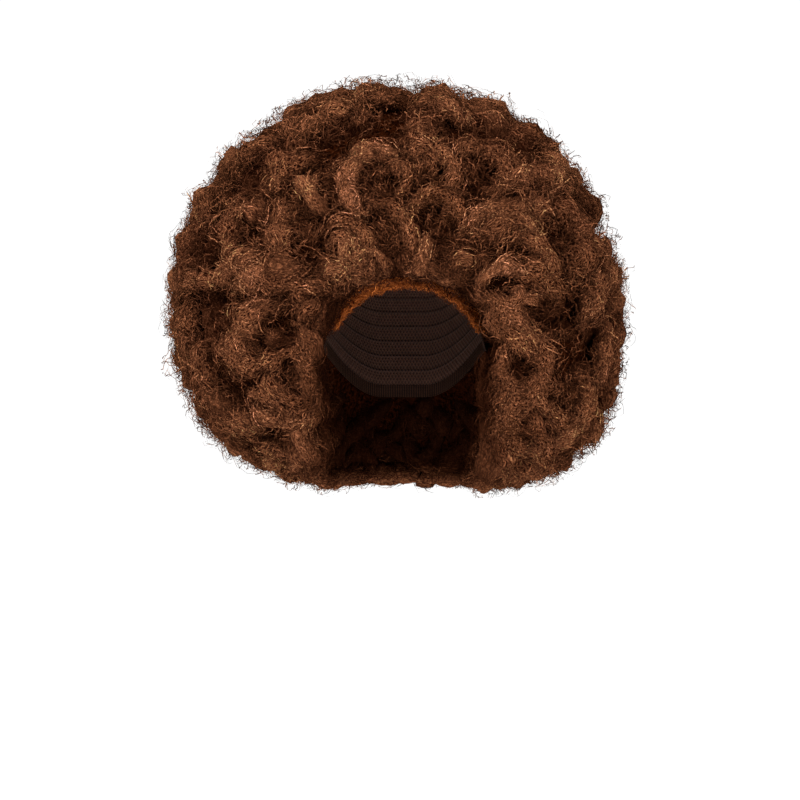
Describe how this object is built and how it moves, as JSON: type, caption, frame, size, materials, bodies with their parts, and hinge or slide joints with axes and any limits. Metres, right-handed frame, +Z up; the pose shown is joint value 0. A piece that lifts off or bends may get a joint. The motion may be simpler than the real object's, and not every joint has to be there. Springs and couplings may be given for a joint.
{
  "type": "afro wig",
  "caption": "Round afro wig: a thin cap with an elastic edge band, set in a thick ball of curled hair that is open below for the head and in front for the face.",
  "frame": {"origin": "inside of the cap's crown, on the middle line of the head, where the top of the head sits", "axes": "+Z up, -Y forward through the face opening, +X to the right of a viewer who looks at the face"},
  "size_m": [0.4432, 0.36, 0.3972],
  "materials": {
    "cap_net": "matt dark brown knitted net",
    "elastic": "matt dark ribbed elastic",
    "hair_fibre": "crimped chestnut brown fibre, soft sheen",
    "fringe_fibre": "short fine orange-brown fibre"
  },
  "bodies": {
    "root": {"cap": "cap_net", "edge_band": "elastic", "hair": "hair_fibre", "front_fringe": "fringe_fibre"}
  },
  "joints": []
}
